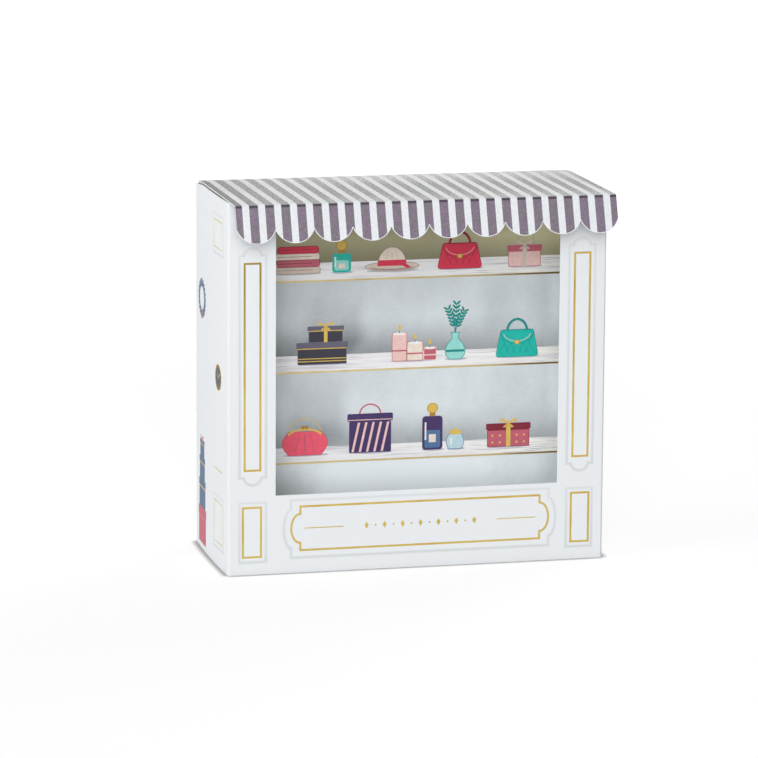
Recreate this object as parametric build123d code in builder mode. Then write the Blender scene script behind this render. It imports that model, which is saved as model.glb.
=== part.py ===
# A greeting card that stands up as a small shop: one die-cut sheet, folded and glued into a box
# with no floor. Around the box the sheet runs left side, front, right side, back and glue flap.
# The roof folds forward from the back's top edge and turns down into a scalloped valance.
# Sizes are in millimetres. +Z is up and the front faces -Y. The origin is on the floor, in the
# middle of the whole card across and from front to back.

import os
from math import atan, cos, degrees, radians, sin, sqrt, tan

from build123d import *

# Sheet
card_thickness = 0.4
upright_fold_radius = 0.5  # inside radius of the box's four upright folds

# Box
front_width = 140.0
box_depth = 57.0
wall_height = 135.6
side_bow = 0.6  # how far each side swells outward, halfway along

# Window in the front
window_side_margin = 17.5
window_sill_height = 28.8
window_head_strip = 8.0  # card left above the window

# Glue flap, turned forward inside the left side
flap_width = 14.0
flap_end_slope = 20.0  # degrees by which each end of the flap is cut back
flap_end_setback = 2.0  # from the box's top and bottom to the flap, at its fold
glue_line = 0.05
seam_setback = 0.3  # from the back's outer face to the left side's cut edge

# Roof
roof_lift = 0.3  # air between the walls' top edges and the roof
roof_inset = 0.3  # from the box's side to the roof
roof_rise = 0.9  # from the fold at the back up to where the roof is level
roof_rise_length = 12.0
hinge_radius = 0.6  # inside radius of the fold at the back's top edge
hinge_inset = 1.0  # from the box's side to the end of that fold
hinge_notch = 1.2  # from the back to where the roof takes its full width
relief_length = 14.0  # the sides' top edges slope down to the fold over this length
roof_overhang = 11.5  # from the front wall to the front fold

# Valance
valance_fold_radius = 0.4  # inside radius
valance_length = 14.0  # from the front fold to the lowest point of a scallop
valance_cusp = 9.1  # from the front fold to where two scallops meet
valance_lean = 20.0  # degrees from upright, outward
scallop_count = 10

# Places that follow from the sizes
valance_reach = valance_length * sin(radians(valance_lean))
valance_drop = valance_length * cos(radians(valance_lean))
overall_depth = box_depth + roof_overhang + valance_reach
side_x = front_width / 2
back_y = overall_depth / 2
front_y = back_y - box_depth
fold_y = front_y - roof_overhang
upright_outer_radius = upright_fold_radius + card_thickness
hinge_outer_radius = hinge_radius + card_thickness
valance_outer_radius = valance_fold_radius + card_thickness
roof_top = wall_height + roof_lift + card_thickness
rise_angle = 2 * atan(roof_rise / roof_rise_length)
rise_radius = roof_rise_length / sin(rise_angle)
hinge_start = roof_top - roof_rise - hinge_outer_radius * cos(rise_angle)
hinge_half_width = side_x - hinge_inset
awning_width = front_width - 2 * roof_inset

# In plan each side is a shallow arc about a point far beyond the other side
bow_radius = (box_depth**2 / 4 + side_bow**2) / (2 * side_bow)
bow_centre_x = bow_radius - side_bow - side_x
bow_centre_y = (front_y + back_y) / 2


def left_side_point(y, inward=0.0):
    """Plan point of the left side's bowed sheet, a given way in from its outer face."""
    reach = sqrt((bow_radius - inward) ** 2 - (y - bow_centre_y) ** 2)
    return (bow_centre_x - reach, y)


# The sheet's plan is in two paths that meet in the middle of the back. A path is the sheet's
# outer face, and the card lies on its left.
flap_inward = card_thickness + glue_line
flap_corner = left_side_point(back_y, flap_inward)
flap_end = left_side_point(back_y - flap_width, flap_inward)

with BuildPart() as back:
    with BuildSketch():
        with BuildLine() as path:
            Line((0, back_y), flap_corner)
            RadiusArc(flap_corner, flap_end, flap_inward - bow_radius)
            fillet(path.vertices().sort_by_distance(flap_corner)[0], upright_outer_radius)
            offset(amount=card_thickness, side=Side.LEFT)
        make_face()
    extrude(amount=wall_height)

    # The flap's ends slope back from its fold, so the outline is seen along X
    flap_fold_y = back_y - upright_outer_radius
    flap_end_drop = flap_end_setback + flap_width * tan(radians(flap_end_slope))
    with BuildSketch(Plane.YZ):
        with BuildLine():
            Polyline(
                (back_y, 0),
                (back_y, wall_height),
                (flap_fold_y, wall_height),
                (flap_fold_y, wall_height - flap_end_setback),
                (back_y - flap_width, wall_height - flap_end_drop),
                (back_y - flap_width, flap_end_drop),
                (flap_fold_y, flap_end_setback),
                (flap_fold_y, 0),
                close=True,
            )
        make_face()
    extrude(amount=front_width, both=True, mode=Mode.INTERSECT)

# Roof and valance: one bent strip, then trimmed in plan and scalloped along its lower edge
with BuildPart() as awning:
    with BuildSketch(Plane.YZ):
        with BuildLine() as path:
            hinge = JernArc(
                (back_y, hinge_start), (0, 1), hinge_outer_radius, 90 - degrees(rise_angle)
            )
            rise = JernArc(hinge @ 1, hinge % 1, rise_radius, degrees(rise_angle))
            Polyline(
                rise @ 1,
                (fold_y, roof_top),
                (fold_y - valance_reach, roof_top - valance_drop),
            )
            front_fold = path.vertices().sort_by_distance((fold_y, roof_top))[0]
            fillet(front_fold, valance_outer_radius)
            offset(amount=card_thickness, side=Side.LEFT)
        make_face()
    extrude(amount=side_x, both=True)

    with BuildSketch():
        with BuildLine():
            Polyline(
                (0, back_y),
                (hinge_half_width, back_y),
                (hinge_half_width, back_y - hinge_notch),
                (awning_width / 2, back_y - hinge_notch),
                (awning_width / 2, fold_y - valance_reach),
                (0, fold_y - valance_reach),
            )
            mirror(about=Plane.YZ)
        make_face()
    extrude(amount=roof_top, mode=Mode.INTERSECT)

    # Scallops: the strip below the cusps goes, apart from a row of circles that touches its foot
    scallop_pitch = awning_width / scallop_count
    scallop_depth = valance_length - valance_cusp
    scallop_radius = (scallop_pitch**2 / 4 + scallop_depth**2) / (2 * scallop_depth)
    valance_face = Plane(
        origin=(0, fold_y, roof_top),
        x_dir=(1, 0, 0),
        z_dir=(0, -cos(radians(valance_lean)), sin(radians(valance_lean))),
    )
    with BuildSketch(valance_face):
        with Locations((0, -valance_length)):
            Rectangle(awning_width, scallop_depth, align=(Align.CENTER, Align.MIN))
        with Locations((0, scallop_radius - valance_length)):
            with GridLocations(scallop_pitch, 0, scallop_count, 1):
                Circle(scallop_radius, mode=Mode.SUBTRACT)
    extrude(amount=-card_thickness, mode=Mode.SUBTRACT)

# The whole card
with BuildPart() as card:
    with BuildSketch():
        with BuildLine() as path:
            corners = [(-side_x, front_y), (side_x, front_y), (side_x, back_y)]
            RadiusArc(left_side_point(back_y - seam_setback), corners[0], -bow_radius)
            Line(corners[0], corners[1])
            RadiusArc(corners[1], corners[2], -bow_radius)
            Line(corners[2], (0, back_y))
            folds = [path.vertices().sort_by_distance(corner)[0] for corner in corners]
            fillet(folds, upright_outer_radius)
            offset(amount=card_thickness, side=Side.LEFT)
        make_face()
    extrude(amount=wall_height)
    add(back.part)

    with BuildSketch(Plane.XZ.offset(-front_y)):
        with Locations((0, window_sill_height)):
            Rectangle(
                front_width - 2 * window_side_margin,
                wall_height - window_head_strip - window_sill_height,
                align=(Align.CENTER, Align.MIN),
            )
    extrude(amount=-card_thickness, mode=Mode.SUBTRACT)

    # The back stops where the roof's hinge starts, and the sides slope down to it
    with BuildSketch(Plane.YZ):
        with BuildLine():
            Polyline(
                (back_y, wall_height),
                (back_y - relief_length, wall_height),
                (back_y - card_thickness, hinge_start),
                (back_y, hinge_start),
                close=True,
            )
        make_face()
    extrude(amount=front_width, both=True, mode=Mode.SUBTRACT)
    add(awning.part)

card.part.label = "card"
os.makedirs("parts", exist_ok=True)
export_step(card.part, "parts/card.step")
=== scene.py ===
from math import ceil, cos, hypot, pi, radians, sin, sqrt

import bmesh
import bpy
from mathutils import Matrix, Vector


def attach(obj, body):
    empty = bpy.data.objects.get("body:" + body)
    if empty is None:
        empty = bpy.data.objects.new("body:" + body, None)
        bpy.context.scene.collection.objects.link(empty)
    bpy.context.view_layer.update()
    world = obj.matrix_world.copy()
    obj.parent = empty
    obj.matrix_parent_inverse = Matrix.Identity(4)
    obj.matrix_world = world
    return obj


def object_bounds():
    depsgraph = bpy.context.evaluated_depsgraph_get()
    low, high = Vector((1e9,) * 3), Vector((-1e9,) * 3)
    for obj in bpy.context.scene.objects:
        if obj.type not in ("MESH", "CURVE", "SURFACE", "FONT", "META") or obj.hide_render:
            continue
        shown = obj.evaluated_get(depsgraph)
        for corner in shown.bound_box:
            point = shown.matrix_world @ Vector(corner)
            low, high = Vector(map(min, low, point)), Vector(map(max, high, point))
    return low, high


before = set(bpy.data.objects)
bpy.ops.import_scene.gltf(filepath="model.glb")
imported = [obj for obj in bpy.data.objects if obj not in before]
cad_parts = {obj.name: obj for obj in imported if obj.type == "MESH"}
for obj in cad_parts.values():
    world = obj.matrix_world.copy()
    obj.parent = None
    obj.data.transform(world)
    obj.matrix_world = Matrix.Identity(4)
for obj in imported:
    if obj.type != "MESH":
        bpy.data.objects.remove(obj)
cadLow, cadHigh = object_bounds()
mm = 0.001
print("card loaded:", sorted(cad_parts))

# The sheet, in millimetres. What isn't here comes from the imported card's own box.
sheet = {
    "thickness": 0.4,
    "boxDepth": 57.0,
    "wallHeight": 135.6,
    "sideBow": 0.6,  # how far each side swells, halfway along
    "overhang": 11.5,
    "valanceLength": 14.0,
    "valanceCusp": 9.1,
    "valanceLean": 20.0,  # degrees
    "scallops": 10,
    "awningInset": 0.3,
    "hingeStart": 134.4,  # where the back turns forward into the roof
    "relief": 14.0,  # the sides' tops slope down to there over this length
    "strip": 3.0,  # what is printed on a side is cut this wide, to follow the swell
}
halfWidth = cadHigh.x / mm - sheet["sideBow"]
frontWidth = 2 * halfWidth
backY = cadHigh.y / mm
frontY = backY - sheet["boxDepth"]
foldY = frontY - sheet["overhang"]
roofTop = cadHigh.z / mm


# The card's faces. Each takes a place on the flat artwork: u across, v up from the floor, and
# h out of the card.
def frontFace(u, v, h):  # u from the left edge
    return u - halfWidth, frontY - h, v


def shopWallFace(u, v, h):  # the back's inner face, u from the left as seen in the window
    return u - halfWidth, backY - sheet["thickness"] - h, v


def sideSwell(u):
    swell, half = sheet["sideBow"], sheet["boxDepth"] / 2
    radius = (half**2 + swell**2) / (2 * swell)
    return sqrt(radius**2 - (u - half) ** 2) - (radius - swell)


def leftFace(u, v, h):  # u from the front fold to the back
    return -(halfWidth + sideSwell(u) + h), frontY + u, v


def rightFace(u, v, h):
    return halfWidth + sideSwell(u) + h, frontY + u, v


# Colours are written as they look on a screen, from 0 to 255, and used as light.
def ink(red, green, blue, strength=1.0):
    return tuple(((c / 255 + 0.055) / 1.055) ** 2.4 * strength for c in (red, green, blue)) + (1.0,)


class Wire:  # a socket whose values can be used in sums
    def __init__(self, bench, socket):
        self.bench, self.socket = bench, socket

    def __add__(self, other):
        return self.bench.maths("ADD", self, other)

    def __sub__(self, other):
        return self.bench.maths("SUBTRACT", self, other)

    def __rsub__(self, other):
        return self.bench.maths("SUBTRACT", other, self)

    def __mul__(self, other):
        return self.bench.maths("MULTIPLY", self, other)

    def __truediv__(self, other):
        return self.bench.maths("DIVIDE", self, other)

    def __rtruediv__(self, other):
        return self.bench.maths("DIVIDE", other, self)

    def __gt__(self, other):
        return self.bench.maths("GREATER_THAN", self, other)

    def __lt__(self, other):
        return self.bench.maths("LESS_THAN", self, other)

    __radd__ = __add__
    __rmul__ = __mul__


class Bench:  # builds the nodes of one tree: a material's, the world's or Geometry Nodes'
    def __init__(self, tree):
        self.tree = tree

    def node(self, kind, settings=None, inputs=None, out=0):
        made = self.tree.nodes.new(kind)
        for name, value in (settings or {}).items():
            setattr(made, name, value)
        for name, value in (inputs or {}).items():
            self.feed(made, name, value)
        if out == "all":
            return [Wire(self, socket) for socket in made.outputs]
        return Wire(self, made.outputs[out])

    def feed(self, made, name, value):
        if isinstance(name, str):  # the one of that name that the node's settings leave in use
            socket = next(s for s in made.inputs if s.name == name and s.enabled)
        else:
            socket = made.inputs[name]
        if isinstance(value, Wire):
            self.tree.links.new(value.socket, socket)
        else:
            socket.default_value = value

    def maths(self, operation, *terms):
        return self.node("ShaderNodeMath", {"operation": operation}, dict(enumerate(terms)))

    def vector(self, operation, *terms, out=0):
        return self.node("ShaderNodeVectorMath", {"operation": operation}, dict(enumerate(terms)), out)

    def combine(self, **parts):  # a vector from its X, Y and Z
        return self.node("ShaderNodeCombineXYZ", None, parts)


class Look(Bench):  # one material with a Principled shader
    def __init__(self, name, **constants):
        self.material = bpy.data.materials.new(name)
        self.material.use_nodes = True
        super().__init__(self.material.node_tree)
        self.shader = self.tree.nodes["Principled BSDF"]
        for socket, value in constants.items():
            self.shader.inputs[socket.replace("_", " ")].default_value = value

    def drive(self, socket, value):
        self.feed(self.shader, socket, value)

    def stretch(self, vector, across, along, up):
        return self.vector("MULTIPLY", vector, (across, along, up))

    def place(self):  # Object coordinates in millimetres
        return self.stretch(self.node("ShaderNodeTexCoord", out="Object"), 1 / mm, 1 / mm, 1 / mm)

    def split(self, vector):
        return self.node("ShaderNodeSeparateXYZ", inputs={0: vector}, out="all")

    def ease(self, value, start, end, low=0.0, high=1.0):  # a smooth step from low to high
        inputs = {"Value": value, "From Min": start, "From Max": end, "To Min": low, "To Max": high}
        return self.node("ShaderNodeMapRange", {"interpolation_type": "SMOOTHSTEP"}, inputs)

    def band(self, value, start, full, fade, end):  # 1 from full to fade, and 0 before and after
        return self.ease(value, start, full) * self.ease(value, end, fade)

    def mix(self, share, first, second):  # of two colours
        inputs = {"Factor": share, "A": first, "B": second}
        return self.node("ShaderNodeMix", {"data_type": "RGBA"}, inputs, 2)

    def tint(self, colour, amount):  # a colour made lighter or darker by a value
        return self.node("ShaderNodeVectorMath", {"operation": "SCALE"}, {0: colour, "Scale": amount})

    def noise(self, vector, scale, detail=2.0, roughness=0.5):
        inputs = {"Vector": vector, "Scale": scale, "Detail": detail, "Roughness": roughness}
        return self.node("ShaderNodeTexNoise", inputs=inputs)

    def uneven(self, vector, middle, spread, *texture):  # a value that drifts about its middle
        return self.noise(vector, *texture) * spread + (middle - spread / 2)

    def bump(self, height, strength, distance):
        inputs = {"Strength": strength, "Distance": distance, "Height": height}
        self.drive("Normal", self.node("ShaderNodeBump", inputs=inputs))


print("helpers ready")

# In the next dictionaries two numbers in brackets are where an easing starts and ends, and the two
# after them what it goes from and to. A band has four: it starts, is full, begins to fade and ends.
# Places are in millimetres. A texture is a noise's scale, detail and roughness.
paper = {
    "white": ink(231, 234, 236),
    "roughness": (0.62, 0.12, 0.6),  # middle, spread and the scale of its patches
    "gloss": 0.45,  # of card and print, as a specular level
    "creaseShade": (0.08, 0.4, 1.0, 0.87),  # darker along the upright folds
    "fibreSize": 3.2,  # fibres to a millimetre
    "fibres": (3.0, 0.6, 0.004 * mm),  # detail, strength and depth
}

awning = {
    "facesUp": 0.3,  # both roof and valance do, by more than this
    "overWalls": 0.25,  # the roof is higher over the walls' tops than this
    "foldReach": 2.0,  # from the front fold back
    "roofTurn": (0.75, 0.95),  # from the valance's slope to the roof's
    "stripePitch": 5.743,
    "darkShare": 0.56,
    "stripeEdge": 0.006,  # how soft it is, as a share of the pitch
    # painted sheen: the roof's dark stripes are lighter and greyer than the valance's, though the ink is
    # the same
    "roofDark": ink(163, 163, 163),
    "roofSheen": ink(209, 209, 208),  # painted sheen: lighter still where the roof catches a reflection
    "patchy": (  # where painted sheen lightens the dark stripes: along the roof's depth, and across
        ((2.0, 28.0, 0.0, 0.9), (-60.0, -5.0)),
        ((-14.0, -27.0, 0.0, 0.4), (-50.0, -22.0)),
    ),
    "leftEnd": (-70.5, -58.0, 0.62, 1.0),  # the roof's dark stripes are darker there
    # painted light and shade: the light stripes are lighter on the roof and greyer on the leaning valance,
    # for how each is lit
    "roofLight": ink(236, 237, 236),
    "dullEnds": (44.0, 60.0, 0.0, 0.1),  # of the roof's light stripes, outward to both sides
    "dullBack": (-12.0, 6.0),
    "valanceDark": ink(120, 105, 122),
    "valanceDull": ink(114, 107, 115),
    "blotchTexture": (0.2, 3.0),
    "blotches": (0.42, 0.6),
    "valanceLight": ink(221, 224, 227),
    "foldDark": ink(58, 48, 62),
    "foldBand": (0.1, 0.3, 0.8, 1.15),  # down from the roof's top
    "unprintedRim": 0.25,
    "rimEdge": 0.08,
    "grainStretch": (1.6, 0.5, 1.3),
    "grainTexture": (1.0, 3.0, 0.75),
    "valanceGrain": 1.6,
    "roofGrain": 2.5,
    "lightGrain": 0.3,  # on the light stripes, as a share of the dark ones' grain
    "darkest": 0.2,  # that the grain makes the dark ink, as a share
}

shopWall = {
    "reach": 1.4,  # from the back's outer face to where the print ends, past the folds beside it
    "lowestShelf": 27.9,
    "shelfPitch": 34.3,
    "dim": ink(118, 124, 128),
    "bright": ink(244, 251, 254),
    "topDim": ink(144, 139, 107),
    "topBright": ink(194, 189, 154),
    "topRight": (20.0, 74.0, 1.0, 1.45),  # the top bay is lighter toward its right end
    "topUpward": (102.0, 113.0, 0.77, 1.43),  # painted light: lighter higher over its shelf, against the roof's shade
    "underRoof": ink(228, 224, 190),  # painted light: lighter where the gap over the side shows it, against the deep shade there
    "underRoofUp": (120.0, 127.0),
    "plankJoints": (122.4, 128.2),
    "plankShade": (0.1, 0.45, 0.86, 1.0),  # away from a joint
}

wallLight = {  # of the painted wall, from 0 where it is dim to 1 where it is bright: the print's own wash, with painted shade where the left pier shades it
    "overShelf": (0.12, 0.62, 0.4, 1.0),  # up each bay, as a share of it
    "upward": (78.0, 20.0, -0.13, 0.06),
    "overLowest": (26.0, 30.0, 0.0, 0.12),  # darker over the lowest shelf than under it
    "leftEnd": (-14.8, -56.8),  # painted shade of the left pier: darker there, and further along the higher bays
    "leftEndLean": 0.24,
    "leftEndUp": (34.0, 14.0, 0.1, 0.78),
    "rightEnd": (18.0, 66.0),
    "rightEndUp": (76.0, 40.0, -0.08, 0.03),
    "rightEndFoot": (34.0, 26.0, 0.0, 0.22),
    "clouds": (  # stretch, strength and texture
        ((1.4, 1.0, 1.0), 0.34, (0.06, 4.0, 0.62)),
        ((0.6, 1.0, 1.0), 0.16, (0.8, 4.0, 0.7)),
    ),
}

wallShade = {  # two broad shades in each bay, and painted light in a strip close to the right side, against the corner's shade
    "over": (28.0, 34.0),  # the lowest shelf
    "left": 0.3,
    "leftUp": (0.1, 0.35, 0.35, 1.15),  # up a bay, as a share of it
    "leftAcross": (-38.0, -30.0, -18.0, -10.0),
    "leftShift": (60.0, 76.0, 0.0, 7.0),  # further right in the higher bay
    "right": (50.0, 74.0, 0.13, 0.2),
    "rightUp": (0.3, 0.55, 0.7, 1.2),
    "rightAcross": (34.0, 44.0, 63.0, 68.0),
    "lightStrip": (62.0, 68.0, 0.0, 0.12),
}


def paperGrain(look, place, detail, strength, depth):
    look.bump(look.noise(place, paper["fibreSize"], detail), strength, depth)


# The whole sheet: white card, the awning's stripes and the fields of colour on the shop's wall
def cardLook():
    look = Look("cardSheet", Specular_IOR_Level=paper["gloss"])
    place = look.place()
    x, y, z = look.split(place)
    nx, ny, nz = look.split(look.node("ShaderNodeTexCoord", out="Normal"))
    wall = (ny < -0.5) * (y > backY - shopWall["reach"]) * (z < sheet["hingeStart"])
    colour = look.mix(wall, awningInk(look, place, x, y, z, nz), shopWallInk(look, place, x, z))
    crease = look.ease(look.maths("ABSOLUTE", nx * ny), *paper["creaseShade"])
    look.drive("Base Color", look.tint(colour, crease))
    look.drive("Roughness", look.uneven(place, *paper["roughness"]))
    paperGrain(look, place, *paper["fibres"])
    return look.material


def awningFace(look, y, z, nz):  # 1 on the outer face of roof and valance
    fall = {"Value": y, "From Min": backY - sheet["relief"], "From Max": backY}
    fall |= {"To Min": sheet["wallHeight"], "To Max": sheet["hingeStart"]}
    wallTop = look.node("ShaderNodeMapRange", None, fall)
    clear = (z > wallTop + awning["overWalls"]) + (y < foldY + awning["foldReach"])
    return (nz > awning["facesUp"]) * (clear > 0.5)


def unprintedRim(look, x, z):  # 1 on the bare rim that follows the scallops
    length, drop = sheet["valanceLength"], sheet["valanceLength"] - sheet["valanceCusp"]
    pitch = 2 * (halfWidth - sheet["awningInset"]) / sheet["scallops"]
    radius = (pitch**2 / 4 + drop**2) / (2 * drop)
    down = (roofTop - z) / cos(radians(sheet["valanceLean"])) - (length - radius)
    across = (look.maths("FRACT", x / pitch) - 0.5) * pitch
    inside = radius - look.maths("SQRT", down * down + across * across)
    rim, edge = awning["unprintedRim"], awning["rimEdge"]
    return look.ease(inside, rim + edge, rim - edge) * (down > radius - drop - rim)


def awningInk(look, place, x, y, z, nz):
    a = awning
    onRoof = look.ease(nz, *a["roofTurn"])
    grain = look.uneven(look.stretch(place, *a["grainStretch"]), 0.0, 1.0, *a["grainTexture"])
    grain = grain * (onRoof * (a["roofGrain"] - a["valanceGrain"]) + a["valanceGrain"])

    # Dark stripes: lighter with painted sheen on the roof, blotched on the valance and darkest along the
    # front fold
    patchy = (look.ease(y, *along) * look.ease(x, *across) for along, across in a["patchy"])
    roofDark = look.mix(look.maths("MAXIMUM", *patchy), a["roofDark"], a["roofSheen"])
    roofDark = look.tint(roofDark, look.ease(x, *a["leftEnd"]))
    blotches = look.ease(look.noise(place, *a["blotchTexture"]), *a["blotches"])
    valanceDark = look.mix(blotches, a["valanceDark"], a["valanceDull"])
    fold = look.band(roofTop - z, *a["foldBand"]) * (y < foldY + a["foldReach"])
    dark = look.mix(fold, look.mix(onRoof, valanceDark, roofDark), a["foldDark"])
    dark = look.tint(dark, look.maths("MAXIMUM", grain + 1, a["darkest"]))

    dull = look.ease(look.maths("ABSOLUTE", x), *a["dullEnds"]) * look.ease(y, *a["dullBack"])
    light = look.mix(onRoof, a["valanceLight"], look.tint(a["roofLight"][:3], 1 - dull))
    light = look.tint(light, grain * a["lightGrain"] + 1)

    half, edge = a["darkShare"] / 2, a["stripeEdge"]
    offCentre = look.maths("ABSOLUTE", look.maths("FRACT", x / a["stripePitch"] + 0.5) - 0.5)
    stripes = look.ease(offCentre, half + edge, half - edge)
    bare = unprintedRim(look, x, z)
    printed = look.mix(stripes * (1 - bare), look.mix(bare, light, paper["white"]), dark)
    return look.mix(awningFace(look, y, z, nz), paper["white"], printed)


def paintedLight(look, place, x, z, up):
    w = wallLight
    light = look.ease(up, *w["overShelf"]) + look.ease(z, *w["upward"]) - look.ease(z, *w["overLowest"])
    # painted shade of the left pier at the wall's left end
    light = light - look.ease(x - z * w["leftEndLean"], *w["leftEnd"]) * look.ease(z, *w["leftEndUp"])
    rightEnd = look.ease(z, *w["rightEndUp"]) + look.ease(z, *w["rightEndFoot"])
    light = light - look.ease(x, *w["rightEnd"]) * rightEnd
    for stretch, strength, texture in w["clouds"]:
        light = light + look.uneven(look.stretch(place, *stretch), 0.0, strength, *texture)
    return light


def paintedShade(look, x, z, up):
    w = wallShade
    across = look.band(x - look.ease(z, *w["leftShift"]), *w["leftAcross"])
    left = look.band(up, *w["leftUp"]) * across * w["left"]
    right = look.band(up, *w["rightUp"]) * look.band(x, *w["rightAcross"]) * look.ease(z, *w["right"])
    return (left + right - look.ease(x, *w["lightStrip"])) * look.ease(z, *w["over"])


def shopWallInk(look, place, x, z):
    w = shopWall
    bay = (z - w["lowestShelf"]) / w["shelfPitch"]
    up = look.maths("FRACT", bay)  # 0 at a shelf and 1 under the next
    light = paintedLight(look, place, x, z, up)
    wallInk = look.mix(light - paintedShade(look, x, z, up), w["dim"], w["bright"])

    topInk = look.mix(light, w["topDim"], w["topBright"])
    # painted light in the top bay, against the shade under the roof
    topInk = look.tint(topInk, look.ease(x, *w["topRight"]) * look.ease(z, *w["topUpward"]))
    topInk = look.mix(look.ease(z, *w["underRoofUp"]), topInk, w["underRoof"])
    for joint in w["plankJoints"]:
        away = look.maths("ABSOLUTE", x - (joint - halfWidth))
        topInk = look.tint(topInk, look.ease(away, *w["plankShade"]))
    return look.mix(bay > 2.0, wallInk, topInk)


foil = {
    "gold": ink(194, 170, 92),
    "deepGold": ink(184, 157, 78),
    "metallic": 1.0,
    "roughness": (0.42, 0.14, 1.5),
    "deepTexture": (0.12, 2.0),  # of the patches of deep gold
    "deepPatches": (0.35, 0.7),
    "fibres": (2.0, 0.4, 0.002 * mm),
    "shadeUp": (50.0, 108.0),  # painted shade on the front's gold, toward the top
    "shadeAcross": (-60.0, 60.0, 0.42, 0.17),
    "height": 0.024,
}

sideFoil = {
    "gold": ink(214, 207, 172),
    "deepGold": ink(204, 192, 150),
    "metallic": 0.8,
}

shelfFoil = {
    "gold": ink(228, 208, 148),
    "deepGold": ink(214, 188, 124),
    "metallic": 0.55,
    # painted shade: the gold turns brown toward the right end, by the inner corner, and darker on each
    # shelf higher up
    "brown": ink(150, 116, 66),
    "brownAcross": (40.0, 60.0),
    "shadeUp": (28.0, 85.0, 1.0, 0.74),
}


def foilLook(name, metal, shade=None):  # shade changes the colour by place
    look = Look(name, Metallic=metal["metallic"])
    place = look.place()
    patches = look.ease(look.noise(place, *foil["deepTexture"]), *foil["deepPatches"])
    colour = look.mix(patches, metal["gold"], metal["deepGold"])
    if shade:
        colour = shade(look, colour, *look.split(place))
    look.drive("Base Color", colour)
    look.drive("Roughness", look.uneven(place, *foil["roughness"]))
    paperGrain(look, place, *foil["fibres"])
    return look.material


def frontShade(look, colour, x, y, z):  # painted shade: darker toward the top, most at the left
    return look.tint(colour, 1 - look.ease(z, *foil["shadeUp"]) * look.ease(x, *foil["shadeAcross"]))


def shelfShade(look, colour, x, y, z):  # painted shade: brown toward the right end, by the inner corner, and darker on each shelf above
    colour = look.mix(look.ease(x, *shelfFoil["brownAcross"]), colour, shelfFoil["brown"])
    return look.tint(colour, look.ease(z, *shelfFoil["shadeUp"]))


def printLook(name, roughness, inkAt):  # inkAt gives the colour of each place
    look = Look(name, Roughness=roughness, Specular_IOR_Level=paper["gloss"])
    place = look.place()
    look.drive("Base Color", inkAt(look, place))
    paperGrain(look, place, *paper["fibres"])
    return look.material


moulding = {
    "grey": ink(208, 212, 215),
    "roughness": 0.5,
    "patchy": (0.5, 0.35, 3.0),  # spread and texture
    "width": 1.8,
    "height": 0.012,
    "edgeHeight": 0.004,
    "litTop": 0.6,  # how strong the line is along its top, which is lit, against its foot
}


def mouldingInk(look, place):  # strongest along the line's middle, and the card's white at its edges
    depth = look.node("ShaderNodeAttribute", {"attribute_name": "depth"}, out="Fac")
    strength = look.ease(depth, 0.0, 1.0) * look.uneven(place, 1.0, *moulding["patchy"])
    return look.mix(strength, paper["white"], moulding["grey"])


tread = {
    "board": ink(252, 251, 252),
    "boardRight": ink(251, 250, 243),
    "rightAcross": (20.0, 58.0),
    "roughness": 0.48,
    "grain": ink(172, 172, 184),
    "grainStrength": (20.0, 62.0, 0.6, 0.95),  # stronger toward the right end
    "grainRun": (0.03, 1.9),  # how the grain is stretched, along the board and up it
    "grainTexture": (1.0, 3.0, 0.7),
    "grainEdge": (0.55, 0.64),
    "bendTexture": (0.045, 1.0),
    "bend": 6.0,
    "knot": ink(232, 229, 233),
    "knotEdge": (0.45, 0.75),
    "knotRise": 0.5,  # how a knot is stretched upward
    "lowestDepth": 5.9,  # the tread's drawn height on the lowest shelf
    "growth": 0.45,  # more on each shelf above
}


def treadInk(look, place):  # fine grey streaks and a few broad knots on pale boards
    t = tread
    x, y, z = look.split(place)
    along, upward = t["grainRun"]
    bent = z * upward + look.noise(place, *t["bendTexture"]) * t["bend"]
    streaks = look.noise(look.combine(X=x * along, Z=bent), *t["grainTexture"])
    knots = look.noise(look.stretch(place, along, 1.0, t["knotRise"]), 1.0)
    colour = look.mix(look.ease(x, *t["rightAcross"]), t["board"], t["boardRight"])
    colour = look.mix(look.ease(knots, *t["knotEdge"]), colour, t["knot"])
    strength = look.ease(streaks, *t["grainEdge"]) * look.ease(x, *t["grainStrength"])
    return look.mix(strength, colour, t["grain"])


paint = {  # a little cloudy: spread and texture of two noises
    "roughness": 0.46,
    "cloud": (0.36, 0.5, 4.0, 0.65),
    "speck": (0.16, 3.0, 2.0, 0.7),
}


def paintedInk(look, place):  # in the colour that each shape carries
    painted = look.node("ShaderNodeAttribute", {"attribute_name": "ink"}, out="Color")
    cloudy = look.uneven(place, 1.0, *paint["cloud"]) * look.uneven(place, 1.0, *paint["speck"])
    return look.tint(painted, cloudy)


looks = {
    "card": cardLook(),
    "foil": foilLook("goldFoil", foil, frontShade),
    "sideFoil": foilLook("sideFoil", sideFoil),
    "shelfFoil": foilLook("shelfFoil", shelfFoil, shelfShade),
    "moulding": printLook("drawnMoulding", moulding["roughness"], mouldingInk),
    "tread": printLook("drawnTread", tread["roughness"], treadInk),
    "ink": printLook("printedInk", paint["roughness"], paintedInk),
}
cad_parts["card"].data.materials.clear()
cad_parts["card"].data.materials.append(looks["card"])
print("materials made:", len(looks))


# Flat outlines
def arc(u, v, radius, start, end, steps=10, squeeze=1.0):
    angles = [radians(start + (end - start) * k / steps) for k in range(steps + 1)]
    return [(u + radius * cos(a), v + radius * squeeze * sin(a)) for a in angles]


def oval(u, v, wide, high, steps=28):
    return arc(u, v, wide / 2, 0, 360 * (1 - 1 / steps), steps - 1, high / wide)


def rectangle(left, bottom, right, top):
    return [(left, bottom), (right, bottom), (right, top), (left, top)]


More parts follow.
